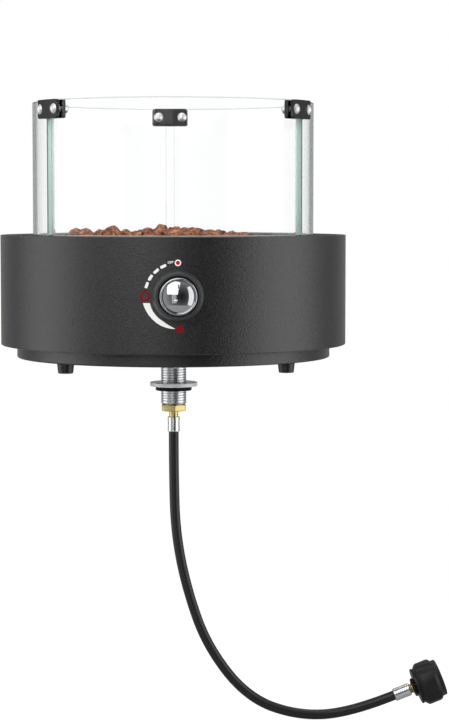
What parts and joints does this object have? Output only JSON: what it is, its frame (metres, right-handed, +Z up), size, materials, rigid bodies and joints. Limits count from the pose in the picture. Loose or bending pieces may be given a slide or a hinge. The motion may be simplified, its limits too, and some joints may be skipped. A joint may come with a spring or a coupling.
{
  "type": "tabletop gas fire pit",
  "caption": "Round tabletop gas fire pit: lava rocks in a black steel drum inside a clipped glass wind guard, with a front knob, a threaded stem that clamps through a table, and a gas hose.",
  "frame": {"origin": "on the threaded stem's axis, in the plane of the table top that the feet stand on", "axes": "+Z up along the stem, the control knob faces -Y, and the hose leaves to +X below the table"},
  "size_m": [0.4977, 0.4015, 0.6886],
  "materials": {
    "black_drum_coat": "fine textured powder coat, matt",
    "black_enamel": "matt heat-proof enamel",
    "stainless_steel": "pressed stainless steel",
    "zinc_steel": "bright zinc plate",
    "chrome": "polished",
    "brass": "machined",
    "aluminium_tube": "drawn tube",
    "ceramic": "white alumina",
    "lava_rock": "rough red-brown lava",
    "toughened_glass": "clear bent glass with polished edges",
    "black_plastic": "satin moulded plastic",
    "black_rubber": "soft rubber"
  },
  "bodies": {
    "housing": {"base_tray": "black_drum_coat", "burner_base": "stainless_steel", "burner_cap": "stainless_steel", "burner_screws": "zinc_steel", "cylinder_nipple": "brass", "deck_plate": "black_drum_coat", "drum_shell": "black_drum_coat", "fire_bowl": "black_enamel", "foot_nuts": "zinc_steel", "foot_screws": "zinc_steel", "gas_hose": "black_rubber", "gas_jet": "brass", "igniter_electrode": "ceramic", "inlet_fitting": "brass", "knob_bezel": "black_plastic", "lava_rocks": "lava_rock", "lower_ferrule": "zinc_steel", "nipple_seal": "black_rubber", "piezo_igniter": "black_plastic", "pilot_bracket": "stainless_steel", "push_spring": "stainless_steel", "rubber_feet": "black_rubber", "stem_nut": "zinc_steel", "supply_pipe": "aluminium_tube", "support_ring": "black_drum_coat", "table_stem": "zinc_steel", "thermocouple": "stainless_steel", "tray_nuts": "zinc_steel", "tray_screws": "zinc_steel", "tray_spacers": "zinc_steel", "upper_ferrule": "zinc_steel", "valve_body": "brass", "valve_bonnet": "brass", "valve_screws": "zinc_steel", "valve_spacer": "black_plastic", "venturi_tube": "stainless_steel"},
    "push_carrier": {"thrust_washer": "zinc_steel"},
    "knob": {"valve_spindle": "stainless_steel", "knob_body": "black_plastic", "knob_cap": "chrome"},
    "plug": {"valve_plug": "brass"},
    "clamp_plate": {"clamp_washer": "zinc_steel"},
    "clamp_ring": {"clamp_nut": "black_plastic"},
    "wind_guard": {"glass_front": "toughened_glass", "glass_left": "toughened_glass", "glass_right": "toughened_glass", "clip_outer_plates": "black_enamel", "clip_inner_plates": "black_enamel", "clip_pads": "black_rubber", "clip_sleeves": "black_rubber", "clip_screws": "chrome", "clip_nuts": "chrome"},
    "hand_nut": {"cylinder_nut": "black_plastic"}
  },
  "joints": [
    {"name": "knob_push", "type": "slide", "parent": "housing", "child": "push_carrier", "axis": [0, 1, 0], "range_m": [0, 0.004], "stiffness_N_per_m": 1500, "springref_m": -0.003, "deforming": ["push_spring"]},
    {"name": "knob_turn", "type": "hinge", "parent": "push_carrier", "child": "knob", "pos_m": [0, -0.19, 0.0846], "axis": [0, -1, 0], "range_deg": [0, 180]},
    {"name": "plug_turn", "type": "hinge", "parent": "housing", "child": "plug", "pos_m": [0, -0.15, 0.0846], "axis": [0, -1, 0], "range_deg": [0, 180]},
    {"name": "washer_slide", "type": "slide", "parent": "housing", "child": "clamp_plate", "axis": [0, 0, 1], "range_m": [-0.0126, 0.014]},
    {"name": "clamp_nut_turn", "type": "hinge", "parent": "clamp_plate", "child": "clamp_ring", "pos_m": [0, 0, -0.0256], "axis": [0, 0, 1], "range_deg": [-1620, 1800]},
    {"name": "guard_lift", "type": "slide", "parent": "housing", "child": "wind_guard", "axis": [0, 0, 1], "range_m": [0, 0.15]},
    {"name": "cylinder_nut_spin", "type": "hinge", "parent": "housing", "child": "hand_nut", "pos_m": [0.2872, 0.00125, -0.35898], "axis": [0.9334, 0.0298, 0.3575], "continuous": true}
  ],
  "couplings": [
    {"joint": "plug_turn", "follows": "knob_turn", "ratio": 1},
    {"joint": "clamp_nut_turn", "follows": "washer_slide", "rad_per_m": 2244}
  ]
}
